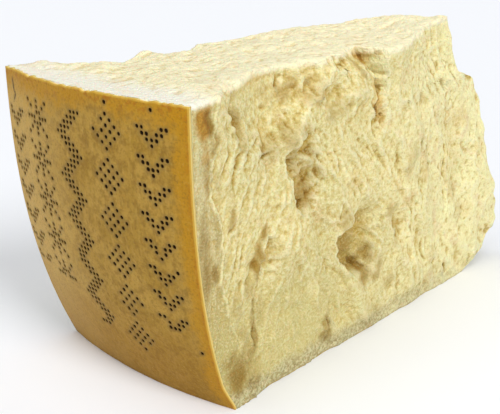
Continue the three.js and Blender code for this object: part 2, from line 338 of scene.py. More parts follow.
# Cracks and pits of the front that only the visible surface has, listed like the hollows
SMALL_HOLLOWS = (
    (32.5, 110, 1.2, 3.0, 9, 8, 1.0, 3.2),
    (38, 100.5, 1.5, 2.5, 2, 30, 1.0, 1.6),
    (41, 99, 5.5, 5.5, 1.2, 20, 1.0, 1.4),
    (61, 115, 2.0, 3.5, 2.5, 20, 1.0, 1.8),
    (80.5, 106, 1.3, 2.5, 2.5, -10, 1.0, 1.4),
    (12, 93, 0.8, 1.2, 4, -20, 1.0, 1.0),
    (20, 96, 0.8, 1.2, 3, 10, 1.0, 1.0),
    (49, 94, 5.5, 5.5, 1.2, 10, 1.0, 1.2),
    (67, 91, 2.0, 4.0, 4, 30, 0.8, 1.8),
    (62, 86, 1.6, 3.5, 5, 20, 0.8, 2.0),
    (67, 69.5, 1.8, 3.0, 3, 0, 0.8, 2.5),
    (86, 63, 2.0, 3.5, 3, -20, 0.8, 1.8),
    (106, 47.5, 3.0, 4.0, 2.5, 30, 0.8, 1.8),
    (105.5, 28.5, 1.5, 4.0, 7, 32, 0.8, 3.0),
    (29, 73, 2.0, 4.0, 5, -35, 0.9, 1.4),
    (38.5, 30, 0.7, 1.2, 13, 0, 1.0, 1.6),
    (28, 22.5, 1.2, 1.8, 1.8, 30, 1.0, 1.4),
    (31.5, 19.5, 1.0, 1.6, 3, -30, 1.0, 1.4),
    (27.5, 16.5, 1.0, 1.6, 2.2, 0, 1.0, 1.4),
    (84, 12, 1.0, 1.8, 8, 12, 1.0, 2.0),
    (32, 9, 1.6, 2.4, 2.4, 0, 1.0, 2.0),
    (33.5, 14, 1.2, 2.0, 2.0, 20, 1.0, 1.6),
    (18, 56, 1.0, 1.6, 3, -15, 1.0, 1.4),
    (45, 61.5, 1.6, 2.4, 3.5, -20, 1.0, 1.6),
    (42, 53, 1.4, 2.2, 3.5, -10, 1.0, 1.6),
    (144, 76, 1.0, 2.0, 4.5, -20, 1.0, 3.0),
    (150, 69, 0.9, 1.8, 5, 30, 1.0, 2.8),
    (154, 62, 0.9, 1.8, 4, 20, 1.0, 2.6),
    (143, 66, 1.2, 1.6, 4, -10, 1.0, 2.2),
    (163, 17, 0.9, 2.0, 5, -15, 1.0, 2.8),
    (172, 8, 0.9, 2.0, 4, 0, 1.0, 2.8),
    (76, 86, 1.0, 1.8, 4, 35, 0.9, 1.2),
    (96, 74, 1.0, 2.2, 5, 30, 0.9, 0.6),
)

# Raised strands of the front, listed like the swellings, and the swing of their lines
STRANDS = (
    (76.5, 79, 1.8, 2.2, 6.5, 22, 1, 1.2),
    (83, 83, 2.2, 2.4, 10, 20, 1, 1.5),
    (91, 75, 2.2, 2.8, 10, 28, 1, 1.6),
    (97.5, 66, 1.8, 2.2, 9, 32, 1, 1.1),
    (103.5, 66, 2.4, 3.2, 13, 36, 1, 1.6),
    (82.7, 58.7, 2.0, 2.5, 9, 61, 1, 1.0),
    (112, 84, 2.0, 2.6, 10, 25, 1, 1.1),
    (118, 72, 2.0, 3.0, 12, 30, 1, 1.3),
    (126, 64, 2.0, 3.0, 10, 28, 1, 1.1),
    (120, 50, 2.0, 2.6, 9, 35, 1, 1.2),
    (134, 55, 2.0, 3.0, 9, 30, 1, 1.1),
    (88, 92, 1.8, 2.4, 8, 22, 1, 1.0),
    (54, 74, 1.8, 2.4, 9, -18, 1, 1.0),
    (60, 60, 1.8, 2.4, 9, -10, 1, 1.0),
    (50, 40, 2.0, 2.5, 10, -20, 1, 1.1),
    (58, 34, 2.0, 3.0, 9, -15, 1, 1.1),
    (66, 41, 2.0, 2.5, 8, -10, 1, 1.0),
    (48, 20, 2.0, 2.5, 9, -12, 1, 1.1),
    (62, 18, 1.6, 2.2, 7, 8, 1, 0.9),
    (76, 26, 2.0, 3.0, 8, 12, 1, 1.1),
    (90, 21, 2.0, 3.0, 8, 20, 1, 1.1),
    (26, 42, 1.6, 2.2, 12, -12, 1, 0.9),
    (31, 60, 1.6, 2.2, 10, -16, 1, 0.9),
    (36, 76, 1.6, 2.2, 9, -18, 1, 0.9),
    (44, 84, 1.8, 2.4, 8, -22, 1, 0.9),
)
STRAND_SWING = ((waves, 1.2, 9, 9, 56),)

# Facets of the front that broke smooth: along, up, half width, half height and calm
SMOOTH_FACETS = (
    (48, 111, 20, 13, 0.75), (99, 104, 9, 14, 0.75), (70, 18, 14, 12, 0.75), (115, 112, 12, 10, 0.75),
)
FACET_WANDER = ((waves, 3.0, 8, 8, 60),)
FACET_EDGE = (0.75, 1.15)


def patches(rows, along, height, wander, edge):
    """The strength of round patches of the front: full inside the edge's first radius, none
    beyond its second, with outlines that wander."""
    strength = np.zeros(np.shape(along))
    bend = layered(wander, along, height)
    full, none = edge
    for patch_along, patch_up, half_width, half_height, most in rows:
        left = (along + bend - patch_along) / half_width
        over = (height - bend - patch_up) / half_height
        strength = np.maximum(strength, most * smoothstep(-np.hypot(left, over), -none, -full))
    return strength


# The finer flakes, strands, grains and crumbs of every break, and how far their lines bend
FLAKE_BEND = ((waves, 2.6, 9, 11, 5), (waves, 0.8, 3, 3, 8))
FLAKES = ((scoops, 1.6, 6.5, 11, 1), (scoops, 1.5, 12, 19, 15))
STRAND_CRESTS = ((crests, -1.2, 6.0, 22, 20), (crests, -1.0, 3.4, 12, 2))
STRAND_GRAINS = ((scoops, -0.45, 3.4, 6.0, 12),)
CRUMBS = ((scoops, -0.65, 1.8, 2.0, 3),)

# Where crumbs and strands stand out: the width, length and seed of the waves they follow, the
# least share, and the values of the waves where they start and are full
CRUMB_SPREAD = (13, 17, 7, 0.3, -0.4, 0.4)
STRAND_SPREAD = (12, 16, 14, 0.2, -0.3, 0.5)


def spread_share(spread, u, v, seed):
    """How much of a kind of relief stands out here, from its least share to 1."""
    width, length, own_seed, least, starts, full = spread
    wave = waves(u / width, v / length, seed + own_seed)
    return lerp(least, 1.0, smoothstep(wave, starts, full))


def flake_relief(u, v, seed, stretch=1.0):
    """The finer flakes, strands and grains that only the visible surface has."""
    bend_u = u + layered(FLAKE_BEND, u, v, seed)
    bend_v = v + layered(FLAKE_BEND, u, v, seed + 1)
    stranded = spread_share(STRAND_SPREAD, u, v, seed)
    relief = layered(FLAKES, bend_u, bend_v / stretch, seed)
    relief = relief + stranded * layered(STRAND_CRESTS, bend_u, bend_v / stretch, seed)
    relief = relief + stranded * layered(STRAND_GRAINS, bend_u, bend_v, seed)
    crumbly = spread_share(CRUMB_SPREAD, u, v, seed)
    return relief + crumbly * layered(CRUMBS, bend_u, bend_v, seed)


# Strands of the front beside the rind, in the middle and towards the point: their lean,
# stretch and seed, and the places along where one manner gives way to the next
STRANDS_NEAR = (0.35, 1.3, 110)
STRANDS_MIDDLE = (-0.7, 1.7, 140)
STRANDS_FAR = (-0.25, 1.0, 170)
NEAR_ENDS = (34, 54)
MIDDLE_STARTS = (54, 72)
MIDDLE_ENDS = (112, 128)


def strand_relief(x, z):
    """Flakes and strands of the front. They lean one way beside the rind, far over the other
    way in the middle of the front, and stand nearly upright towards the point."""
    along = x + WHEEL_RADIUS
    near = 1.0 - smoothstep(along, *NEAR_ENDS)
    middle = smoothstep(along, *MIDDLE_STARTS) * (1.0 - smoothstep(along, *MIDDLE_ENDS))
    shares = (near, middle, 1.0 - near - middle)
    relief = np.zeros(np.shape(x))
    for share, (lean, stretch, seed) in zip(shares, (STRANDS_NEAR, STRANDS_MIDDLE, STRANDS_FAR)):
        here = share > 0
        u = x[here] - lean * (z[here] - CHUNK_HEIGHT / 2)
        relief[here] += share[here] * flake_relief(u, z[here], seed, stretch)
    return relief


# Beside the rind a knife scored the front, and the crumbly break starts a step below it,
# behind a crisp lip. The band's edge wavers, upright scratches and a low grain cover it, and
# the hollows show only faintly through it.
SCORED_WIDTH = 14.0
SCORE_STARTS = 1.5
SCORE_STEP = 0.9
SCORE_EDGE = 0.8
SCORE_LIP = 0.7
SCORE_LIP_WIDTH = 2.4
HOLLOWS_THROUGH, THROUGH_SHARE = 0.4, 0.3
SCORE_WAVER = ((waves, 4.0, 17, 60, 70), (waves, 2.0, 6, 9, 71), (waves, 0.9, 2.4, 4, 74))
SCRATCHES = (
    (waves, 0.3, 1.3, 40, 72), (waves, 0.3, 3.5, 60, 73),
    (scoops, 0.45, 2.4, 8, 75), (scoops, -0.35, 1.3, 1.9, 78),
)

# The dry crust of the foot: its lumps and the heights where it starts and ends, and how much
# less the break crumbles there
CRUST = ((scoops, 0.7, 1.8, 1.6, 90),)
CRUST_STARTS = (0.4, 1.5)
CRUST_ENDS = (7, 11)
FOOT_CRUMBS, FOOT_CRUMB_HEIGHTS = 0.3, (3, 8)


def scored_share(x, z):
    """1 on the band beside the rind that a knife scored, and how proud the lip at its ragged
    edge stands."""
    edge_x = -rind_radius(z) * math.cos(FRONT_ANGLE)
    from_rind = x - edge_x + layered(SCORE_WAVER, z, x)
    lip_starts, lip_full = SCORED_WIDTH - SCORE_LIP_WIDTH, SCORED_WIDTH - SCORE_EDGE
    lip = SCORE_LIP * smoothstep(from_rind, lip_starts, lip_full)
    return 1.0 - smoothstep(from_rind, lip_full, SCORED_WIDTH), lip


def fine_front_depth(x, z, depth):
    """The front's depth with all that only the visible surface has."""
    along = x + WHEEL_RADIUS
    depth = depth + forms_depth(SMALL_HOLLOWS, (), along, z, True)
    swung = along + layered(STRAND_SWING, x, z)
    for strand in STRANDS:
        depth = depth - form_depth(strand, swung, z, True)
    crumbly = 1.0 - patches(SMOOTH_FACETS, along, z, FACET_WANDER, FACET_EDGE)
    crumbly = crumbly * lerp(FOOT_CRUMBS, 1.0, smoothstep(z, *FOOT_CRUMB_HEIGHTS))
    depth = depth + strand_relief(x, z) * crumbly
    scored, lip = scored_share(x, z)
    stepped = depth * away_from_rind(x, z, *CLEAN_BREAK) + SCORE_STEP
    through = np.minimum(stepped, HOLLOWS_THROUGH) * THROUGH_SHARE
    scratched = through - lip + layered(SCRATCHES, x, z)
    crusty = smoothstep(z, *CRUST_STARTS) * (1.0 - smoothstep(z, *CRUST_ENDS))
    return lerp(stepped, scratched, scored) + layered(CRUST, x, z) * crusty


def front_y(x, z, fine):
    """Where the front break lies, as in the solid or with the finer relief."""
    edge_x = -rind_radius(z) * math.cos(FRONT_ANGLE)
    edge_y = -rind_radius(z) * math.sin(FRONT_ANGLE)
    plane = lerp(edge_y, FRONT_END[1], (x - edge_x) / (FRONT_END[0] - edge_x))
    foot = smoothstep(FOOT_HEIGHT - z, 0, FOOT_HEIGHT) * (1.0 - smoothstep(x - edge_x, *FOOT_ALONG))
    plane = plane - FOOT_PROUD * foot
    lean = lerp(GRAIN_LEAN_NEAR, GRAIN_LEAN_FAR, smoothstep(x, *GRAIN_TURN))
    grain = x - lean * (z - CHUNK_HEIGHT / 2)
    calm = lerp(FOOT_CALM, 1.0, smoothstep(z, *FOOT_CALM_HEIGHTS))
    calm = calm * lerp(1.0, TOP_CALM, smoothstep(z, *TOP_CALM_HEIGHTS))
    depth = layered(BREAK_RELIEF, grain, z, FRONT_SEED) * calm
    depth = depth + forms_depth(FRONT_HOLLOWS, FRONT_SWELLS, x + WHEEL_RADIUS, z, fine) - FRONT_PROUD
    if fine:
        return plane + fine_front_depth(x, z, depth) * smoothstep(x - edge_x, 0, SCORE_STARTS)
    return plane + depth * away_from_rind(x, z, *CLEAN_BREAK)


def back_y(x, z, fine):
    """Where the back break lies, as in the solid or with the finer relief."""
    edge_x = -rind_radius(z) * math.cos(BACK_ANGLE)
    edge_y = rind_radius(z) * math.sin(BACK_ANGLE)
    end_y = BACK_END[1] + BACK_END_SPREAD * smoothstep(CHUNK_HEIGHT - z, *BACK_SPREAD_BELOW_TOP)
    plane = lerp(edge_y, end_y, (x - edge_x) / (BACK_END[0] - edge_x))
    grain = x + BACK_LEAN * z
    calm = lerp(1.0, TOP_CALM, smoothstep(z, *TOP_CALM_HEIGHTS))
    depth = layered(BREAK_RELIEF, grain, z, BACK_SEED) * calm
    if fine:
        depth = depth + flake_relief(grain, z, BACK_FLAKE_SEED)
    return plane - depth * away_from_rind(x, z, *CLEAN_BREAK)


# The relief of the top and of the point, and what only the visible surface has of it
TOP_RELIEF = ((waves, 0.9, 24, 18, 300), (waves, 0.5, 9, 9, 301))
TOP_FINE = ((waves, 0.5, 4, 4, 302), (scallops, 0.5, 3.3, 2.8, 303), (ridges, 0.4, 5, 4, 304))
POINT_RELIEF = ((waves, 0.8, 8, 8, 400),)
POINT_FINE = ((scallops, 0.8, 6, 7, 410),)
POINT_FINE_MEAN = 0.4


def top_z(x, y, fine):
    """Where the top break lies, as in the solid or with the finer relief."""
    rind_edge_x = -WHEEL_RADIUS * math.cos(FRONT_ANGLE)
    rind_edge_y = WHEEL_RADIUS * math.sin(FRONT_ANGLE)
    towards_point = (x - rind_edge_x) / (FRONT_END[0] - rind_edge_x)
    front = lerp(-rind_edge_y, FRONT_END[1], towards_point)
    back = lerp(rind_edge_y, BACK_END[1], towards_point)
    fall = lerp(TOP_FALL_AT_RIND, TOP_FALL_AT_POINT, smoothstep(towards_point, *TOP_FALL_TURN))
    z = CHUNK_HEIGHT - fall * smoothstep((y - front) / (back - front), 0, 1)
    z = z + TOP_RISE * smoothstep(towards_point, *TOP_RISE_TURN)
    for bite_x, half, depth in TOP_BITES:
        here = np.clip(1.0 - ((x - bite_x) / half) ** 2, 0.0, 1.0)
        z = z - depth * here * smoothstep((y - back) / BITE_REACH, -1, 0)
    level = layered(TOP_RELIEF + TOP_FINE if fine else TOP_RELIEF, x, y)
    return z + level * away_from_rind(x, CHUNK_HEIGHT, *CLEAN_TOP)


def point_x(across, y, z):
    """Where the broken end at the point lies, with its finer relief."""
    profile = np.interp(z, POINT_PROFILE_UP, POINT_PROFILE_X) - POINT_SLANT * across
    return profile + layered(POINT_RELIEF + POINT_FINE, y, z) - POINT_FINE_MEAN


def box_skin(along, across, upward, coarse):
    """The skin of a box of lattice cells: lattice points used, and faces that list them.

    coarse gives a side's cell size in lattice steps. Along its rim such a side keeps every
    lattice point, so that it stays joined to its neighbours.
    """
    size = (along, across, upward)
    # Each side: the direction it faces along and its place there, the two directions that it
    # spans, and whether its faces are turned over
    sides = {
        "front": (1, 0, 0, 2, False), "back": (1, across, 0, 2, True),
        "top": (2, upward, 0, 1, False), "under": (2, 0, 0, 1, True),
        "point": (0, along, 1, 2, False), "rind": (0, 0, 1, 2, True),
    }
    faces, names = [], []
    for name, (fixed, value, run, rise, flip) in sides.items():
        step = coarse.get(name, 1)
        most_run, most_rise = size[run], size[rise]

        def key(i, j):
            place = [0, 0, 0]
            place[fixed], place[run], place[rise] = value, i, j
            return (place[0] * (across + 1) + place[1]) * (upward + 1) + place[2]

        for i in range(0, most_run, step):
            for j in range(0, most_rise, step):
                bottom = range(i, i + step) if j == 0 else (i,)
                far = range(j, j + step) if i + step == most_run else (j,)
                over = range(i + step, i, -1) if j + step == most_rise else (i + step,)
                near = range(j + step, j, -1) if i == 0 else (j + step,)
                ring = [key(k, j) for k in bottom] + [key(i + step, k) for k in far]
                ring += [key(k, j + step) for k in over] + [key(i, k) for k in near]
                faces.append(ring[::-1] if flip else ring)
                names.append(name)
    used = np.unique(np.concatenate([np.asarray(f) for f in faces]))
    places = np.stack([used // ((across + 1) * (upward + 1)),
                       used // (upward + 1) % (across + 1), used % (upward + 1)], axis=1)
    index = {k: n for n, k in enumerate(used.tolist())}
    return places / np.array(size, float), [[index[k] for k in f] for f in faces], names


def settle(shares, inset, steps):
    """Moves places in the unit box to the skin of the chunk. inset is how far the rind's
    side lies below the rind."""
    along, across, height = shares.T
    x = lerp(-WHEEL_RADIUS, FRONT_END[0], along)
    y = lerp(FRONT_END[1], -FRONT_END[1], across)
    z = CHUNK_HEIGHT * height
    for _ in range(steps):
        z = height * top_z(x, y, True)
        x = lerp(rind_x(y, z) + inset, point_x(across, y, z), along)
        y = lerp(front_y(x, z, True), back_y(x, z, True), across)
    return np.stack([x, y, z], axis=1)


def mesh_object(name, places, faces):
    """A Blender object of these places, in millimetres from the wheel's axis."""
    mesh = bpy.data.meshes.new(name)
    mesh.from_pydata(in_frame(places).tolist(), [], faces)
    mesh.polygons.foreach_set("use_smooth", [True] * len(mesh.polygons))
    mesh.update()
    made = bpy.data.objects.new(name, mesh)
    bpy.context.collection.objects.link(made)
    return made


def normals_of(mesh):
    found = np.empty(len(mesh.vertices) * 3)
    mesh.vertices.foreach_get("normal", found)
    return found.reshape(-1, 3)


def edges_of(mesh):
    found = np.empty(len(mesh.edges) * 2, np.int32)
    mesh.edges.foreach_get("vertices", found)
    return found.reshape(-1, 2)


def eased(places, edges, rounds):
    """Places moved towards the mean of their neighbours, so many times."""
    first, second = edges.T
    count = np.bincount(edges.ravel(), minlength=len(places))[:, None]
    for _ in range(rounds):
        total = np.stack([
            np.bincount(first, places[second, k], len(places))
            + np.bincount(second, places[first, k], len(places)) for k in range(3)
        ], axis=1)
        places = (places + total / count) / 2
    return places


# How far apart the lattice's layers lie in its random numbers
LAYER_STRIDE = 7919


def crumb(places, width, seed):
    """Lumps from -1 to 1 in space, one width long."""
    u = places / width
    cell = np.floor(u).astype(np.int64)
    t = smoothstep(u - cell, 0, 1)
    total = 0.0
    for corner in range(8):
        step = np.array((corner & 1, corner >> 1 & 1, corner >> 2 & 1))
        i, j, k = (cell + step).T
        value = lattice_value(i + LAYER_STRIDE * k, j, seed)
        total = total + value * np.prod(np.where(step, t, 1 - t), axis=1)
    return 2 * total - 1


def store(mesh, name, values):
    made = mesh.attributes.new(name, "FLOAT", "POINT")
    made.data.foreach_set("value", np.asarray(values, np.float32))


# Stains of the front, partly real stains and partly painted shade in its hollows and clefts,
# and pale patches, partly paler paste and partly painted light: along, up, half width, half
# height and strength
BROWN_STAINS_AND_SHADE = (
    (33, 117, 4, 4, 0.35), (97, 108, 5, 5, 0.2), (160, 9, 6, 3, 0.35), (54, 112, 5, 5, 0.25),
    (30, 12, 6, 8, 0.9), (37, 17, 4, 7, 0.65), (25, 20, 3, 4, 0.7), (38, 8, 5, 5, 0.6),
    (12, 62, 3, 22, 0.5), (14, 58, 2.5, 9, 0.7), (14, 94, 1.6, 8, 0.6), (15, 113, 2, 5, 1.0),
    (18, 57, 2, 4, 0.8), (20, 4, 5, 4, 0.7), (11, 40, 3, 16, 0.35), (18, 105, 2.5, 5, 0.75),
    (27, 75, 3, 5, 0.7), (34, 102, 3, 5, 0.5), (34, 108, 2.2, 5, 0.75), (40, 52, 2.2, 6, 1.0),
    (42, 58, 2.2, 5, 0.9), (45, 64, 2.2, 4, 0.9), (36, 45, 3, 5, 0.4), (39, 27, 2, 17, 0.75),
    (39, 12, 5, 5, 0.4), (34, 18, 4, 10, 0.45), (51, 94, 6, 5, 0.5), (63, 111, 4, 4, 0.65),
    (67, 114, 4, 3, 0.7), (60, 96, 4, 5, 0.65), (64, 87, 4, 6, 0.5), (67, 80, 4, 6, 0.3),
    (69, 72, 6, 6, 0.85), (72, 86, 4, 4, 0.4), (72, 109, 4.5, 3.5, 0.5), (75, 112, 2, 2, 0.4),
    (78, 113, 3, 2, 0.4), (82, 101, 5, 3.5, 0.45), (90, 56, 4, 5, 0.55), (108, 114, 2.0, 6, 0.4),
    (83, 12, 3, 8, 0.65), (101, 40, 5, 7, 0.6), (106, 28, 3.5, 6, 0.9), (109, 26, 3, 4, 0.6),
    (114, 25, 4, 4, 0.6), (103, 32, 3, 4, 0.3), (116, 29, 4, 4, 0.6), (112, 35, 4, 5, 0.5),
    (129, 38, 5, 6, 0.4), (127, 49, 4, 4, 0.4), (125, 18, 4, 4, 0.35), (133, 66, 3, 5, 0.45),
    (144, 74, 2.5, 6, 0.4), (150, 69, 2.5, 8, 0.3), (159, 19, 4, 5, 0.3), (175, 45, 4, 6, 0.3),
    (181, 33, 4, 5, 0.3), (37, 13, 3, 5, 0.4), (27, 21, 3, 4, 0.5), (43, 33, 3, 7, 0.3),
    (34, 27, 2.5, 5, 0.35), (136, 71, 3, 5, 0.35), (66, 97, 3, 3, 0.4), (28, 42, 3, 6, 0.35),
    (66, 66, 3, 3, 0.4), (76, 78, 3, 4, 0.35), (20, 90, 2, 5, 0.35), (94, 50, 3, 5, 0.6),
    (104, 48, 4, 4, 0.5), (77, 109, 4, 3, 0.6), (88, 102, 5, 4, 0.4), (103, 112, 2.5, 5, 0.7),
    (123, 50, 3, 4, 0.65),
)
AMBER_STAINS_AND_SHADE = (
    (13.5, 117, 3.5, 4, 0.8), (137, 51, 4, 4, 0.3), (150, 60, 3, 6, 0.3), (124, 60, 4, 4, 0.25),
    (132, 72, 4, 3, 0.25), (12, 113, 3.0, 7, 1.0), (13, 103, 1.8, 5, 0.7), (180, 77, 7, 5, 0.25),
    (186, 31, 6, 5, 0.2), (109, 117, 2.5, 4, 0.5), (110, 103, 2, 6, 0.35),
    (112.5, 96, 2.5, 6, 0.6), (95, 117, 7, 2.5, 0.35), (52, 119, 9, 2, 0.4), (76, 62, 4, 4, 0.2),
    (98, 70, 5, 4, 0.2), (195, 60, 5, 6, 0.2),
)
PALE_AND_LIT_PATCHES = (
    (106, 56, 4, 4, 0.6), (112.5, 111, 1.3, 5, 0.8), (121, 95, 3, 5, 0.5), (115, 50, 4, 3, 0.7),
    (82, 116, 3, 2, 0.6), (75, 114, 2, 2, 0.6), (92, 76, 5, 9, 0.6), (94, 87, 4, 4, 0.5),
    (70, 42, 4, 5, 0.4), (74, 32, 4, 5, 0.4), (146, 92, 5, 5, 0.4), (168, 94, 5, 5, 0.5),
    (166, 117, 5, 4, 0.4), (92, 38, 3, 5, 0.4), (130, 3, 9, 3, 0.5), (185, 5, 16, 3, 0.5),
)
PATCH_WANDER = ((waves, 1.5, 5, 5, 80),)
PATCH_EDGE = (0.4, 1.3)

# The paste's mesh: cells along, across and up, coarser on the sides that show little, and how
# deep its end lies under the rind's skin
PASTE_CELLS = (324, 56, 168)
COARSE_SIDES = {"back": 2, "under": 4, "rind": 8}
SKIN_DEPTH = 1.3
SKIN_OVERLAP = 0.15
PASTE_SETTLINGS = 9

# The edges between the breaks are rounded over a few cells, but not beside the rind or at the
# floor
EDGE_EASINGS = 3
EDGE_SPREADS, EDGE_FADE = 2, 0.6
RIND_EDGE_SHARE = 0.01
FLOOR_FADE = 1.2

# The crumb: lumps with their height, width and seed, and how rough the clean paste is
LUMPS = ((0.22, 2.6, 500), (0.22, 1.5, 510))
CLEAN_ROUGHNESS, CLEAN_END = 0.3, 14

# How many times the surface is eased to find its small, middling and wide hollows
SMALL_EASINGS, MID_EASINGS, WIDE_EASINGS = 6, 30, 120

# What counts as the top, which shades off over a little depth, and as the underside
TOP_SHADES_OFF = (-2.6, -0.8)
TOP_SHARE = 0.9
DOWNWARD, FLOOR_NEAR = -0.7, 1.0

# The breaks meet, and places that lie on two sides of the box, or near such places, are eased
shares, faces, _ = box_skin(*PASTE_CELLS, COARSE_SIDES)
places = settle(shares, SKIN_DEPTH - SKIN_OVERLAP, PASTE_SETTLINGS)
paste = mesh_object("paste", places, faces)
mesh = paste.data
normals = normals_of(mesh)
edges = edges_of(mesh)
first, second = edges.T
side_count = sum(((shares[:, k] == 0) | (shares[:, k] == 1)).astype(int) for k in range(3))
weight = (side_count >= 2).astype(float)
for _ in range(EDGE_SPREADS):
    spread = weight.copy()
    np.maximum.at(spread, first, weight[second] * EDGE_FADE)
    np.maximum.at(spread, second, weight[first] * EDGE_FADE)
    weight = spread
above_floor = smoothstep(places[:, 2], 0.0, FLOOR_FADE)
weight = weight * above_floor * smoothstep(shares[:, 0], 0.0, RIND_EDGE_SHARE)
places = lerp(places, eased(places, edges, EDGE_EASINGS), weight[:, None])

# The crumb rises from the surface, but nothing sinks below the floor
clean = away_from_rind(places[:, 0], places[:, 2], 0, CLEAN_END)
rough = above_floor * lerp(CLEAN_ROUGHNESS, 1.0, clean)
lumps = sum(size * crumb(places, width, seed) for size, width, seed in LUMPS)
places = places + normals * (lumps * rough)[:, None]
places[:, 2] = np.maximum(places[:, 2], 0.0)
mesh.vertices.foreach_set("co", in_frame(places).astype(np.float32).ravel())
mesh.update()

# What the colours follow
normals = normals_of(mesh)
mid_places = eased(places, edges, MID_EASINGS)
wide_places = eased(mid_places, edges, WIDE_EASINGS)
x, y, z = places.T
along = x + WHEEL_RADIUS
is_front = (shares[:, 1] < 0.5).astype(float)
front_distance = x + rind_radius(z) * math.cos(FRONT_ANGLE)
back_distance = x + rind_radius(z) * math.cos(BACK_ANGLE)
is_top = smoothstep(z - top_z(x, y, False), *TOP_SHADES_OFF) * (shares[:, 2] > TOP_SHARE)
scored, lip = scored_share(x, z)
on_front_side = is_front * (1 - is_top)
for name, values in {
    "small_hollow": np.einsum("ij,ij->i", eased(places, edges, SMALL_EASINGS) - places, normals),
    "mid_hollow": np.einsum("ij,ij->i", mid_places - places, normals),
    "wide_hollow": np.einsum("ij,ij->i", wide_places - places, normals),
    "top_face": is_top,
    "from_rind": lerp(back_distance, front_distance, is_front),
    "along_front": along,
    "height": z,
    "underside": (normals[:, 2] < DOWNWARD) * (z < FLOOR_NEAR),
    "hollow": forms_depth(FRONT_HOLLOWS + SMALL_HOLLOWS, (), along, z, True) * is_front,
    "scored": scored * on_front_side,
    "lip": lip / SCORE_LIP * scored * on_front_side,
    "brown_stain_and_shade": patches(BROWN_STAINS_AND_SHADE, along, z, PATCH_WANDER, PATCH_EDGE) * is_front,
    "pale_and_lit_patch": patches(PALE_AND_LIT_PATCHES, along, z, PATCH_WANDER, PATCH_EDGE) * is_front,
    "amber_stain_and_shade": patches(AMBER_STAINS_AND_SHADE, along, z, PATCH_WANDER, PATCH_EDGE) * is_front,
}.items():
    store(mesh, name, values)
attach(paste, "root")
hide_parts(NODE)


class Amount:
    """A socket of a material's nodes that arithmetic can be done on."""

    def __init__(self, sheet, socket):
        self.sheet = sheet
        self.socket = socket

    def with_other(self, operation, other, swapped=False):
        first, second = (other, self) if swapped else (self, other)
        return self.sheet.node("Math", {"operation": operation}, {0: first, 1: second})

    def __add__(self, other):
        return self.with_other("ADD", other)

    def __radd__(self, other):
        return self.with_other("ADD", other, True)

    def __sub__(self, other):
        return self.with_other("SUBTRACT", other)

    def __rsub__(self, other):
        return self.with_other("SUBTRACT", other, True)

    def __mul__(self, other):
        return self.with_other("MULTIPLY", other)

    def __rmul__(self, other):
        return self.with_other("MULTIPLY", other, True)

    def raised(self, low, high):
        """0 below low to 1 above high, or the other way round where low is the greater."""
        return self.sheet.node("MapRange", {"interpolation_type": "SMOOTHSTEP"}, {
            "Value": self, "From Min": low, "From Max": high,
        })


class Sheet:
    """One material and the nodes made for it."""

    def __init__(self, name):
        self.material = bpy.data.materials.new(name)
        self.material.use_nodes = True
        self.tree = self.material.node_tree
        self.surface = self.tree.nodes["Principled BSDF"]

    def node(self, kind, settings=None, inputs=None, output=0):
        made = self.tree.nodes.new("ShaderNode" + kind)
        for name, value in (settings or {}).items():
            setattr(made, name, value)
        self.feed(made, inputs or {})
        return Amount(self, made.outputs[output])

    def feed(self, made, inputs):
        for name, value in inputs.items():
            if isinstance(value, Amount):
                self.tree.links.new(value.socket, made.inputs[name])
            else:
                made.inputs[name].default_value = value

    def stored(self, name):
        return self.node("Attribute", {"attribute_name": name}, output="Fac")

    def place(self):
        return self.node("TexCoord", output="Object")

    def noise(self, width, detail, stretch=(1, 1, 1)):
        """Soft noise from 0 to 1 with lumps so many millimetres wide."""
        place = self.node("VectorMath", {"operation": "MULTIPLY"}, {0: self.place(), 1: stretch})
        return self.node("TexNoise", {}, {"Vector": place, "Scale": 1 / (width * MM), "Detail": detail})

    def cells(self, width):
        """Distance to the nearest of scattered points, about 0 to 1, so many millimetres apart."""
        inputs = {"Vector": self.place(), "Scale": 1 / (width * MM)}
        return self.node("TexVoronoi", {}, inputs, "Distance")

    def paint(self, colour):
        return colour if isinstance(colour, Amount) else (*colour, 1.0)

    def mix(self, share, first, second, blend="MIX"):
        settings = {"data_type": "RGBA", "blend_type": blend}
        return self.node("Mix", settings, {0: share, 6: self.paint(first), 7: self.paint(second)}, 2)

    def stained(self, share, first, tint):
        """A colour darkened by a tint, so that its own pattern still shows."""
        return self.mix(share, first, tint, "MULTIPLY")

    def laid(self, colour, layers):
        """A colour with others laid over it. Each layer names what it follows, the values where
        it starts and where it is full, its share and its colour."""
        for follows, start, full, share, layer in layers:
            colour = self.mix(follows.raised(start, full) * share, colour, layer)
        return colour

    def bump(self, height, distance):
        return self.node("Bump", {}, {"Height": height, "Distance": distance * MM, "Strength": 1.0})


# Cream, greyer where a knife scored it beside the rind, and paler and yellower towards the
# point, partly its own colour and partly painted light. Crests are painted paler, a painted
# highlight, and hollows ochre, a painted shade.
CREAM = (0.845, 0.725, 0.33)
GREY_CREAM = (0.70, 0.62, 0.28)
LOW_CREAM = (0.63, 0.54, 0.21)
BRIGHT_CREAM = (1.0, 0.92, 0.50)
GREEN_CREAM = (0.80, 0.75, 0.36)
PALE_CREST = (0.96, 0.91, 0.58)
PINK = (0.82, 0.62, 0.36)
OCHRE = (0.56, 0.38, 0.075)
DEEP_OCHRE = (0.31, 0.18, 0.025)
SCORED = (0.50, 0.39, 0.15)
SCORED_PALE = (0.68, 0.57, 0.28)
SCORED_BROWN = (0.39, 0.26, 0.06)
CRUST_GREY = (0.66, 0.61, 0.36)
CRUST_BROWN = (0.42, 0.34, 0.16)
TOP_CREAM = (1.0, 0.92, 0.61)
TOP_BLOOM = (1.0, 0.96, 0.80)
BROWN_STAIN_AND_SHADE_TINT = (0.52, 0.38, 0.16)
AMBER_STAIN_AND_SHADE_TINT = (0.70, 0.43, 0.13)
GRIT_TINT = (0.72, 0.63, 0.40)

